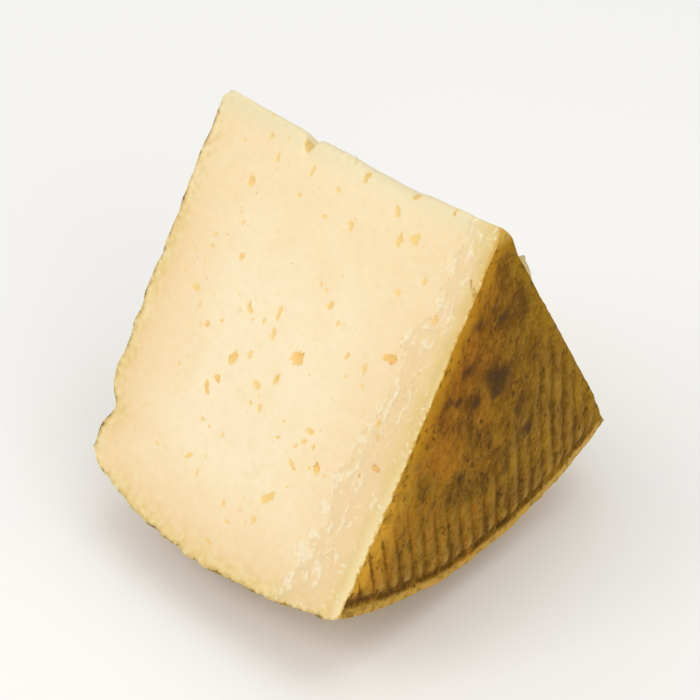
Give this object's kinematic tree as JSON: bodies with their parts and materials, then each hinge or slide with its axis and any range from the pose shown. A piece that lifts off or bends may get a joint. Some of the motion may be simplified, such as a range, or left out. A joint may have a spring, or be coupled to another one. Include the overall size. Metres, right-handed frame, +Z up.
{
  "type": "cheese wedge",
  "caption": "Wedge of aged sheep cheese with two knife cuts, small eyes, a ridged brown rind and a plaited rim print; stands on its rim, tip up.",
  "frame": {"origin": "middle of the bounding box at the level the wedge rests on", "axes": "+Z up; X along the wheel's axis, so the tip edge is level along X; +X is the pressed face that the picture shows, -Y the cut that it shows"},
  "size_m": [0.0879, 0.1076, 0.105],
  "materials": {
    "paste": "satin, dense and slightly translucent, cut with a knife",
    "rind": "dry mottled brown washed rind with dark mould specks"
  },
  "bodies": {
    "root": {"cheese_wedge": "paste"}
  },
  "joints": []
}
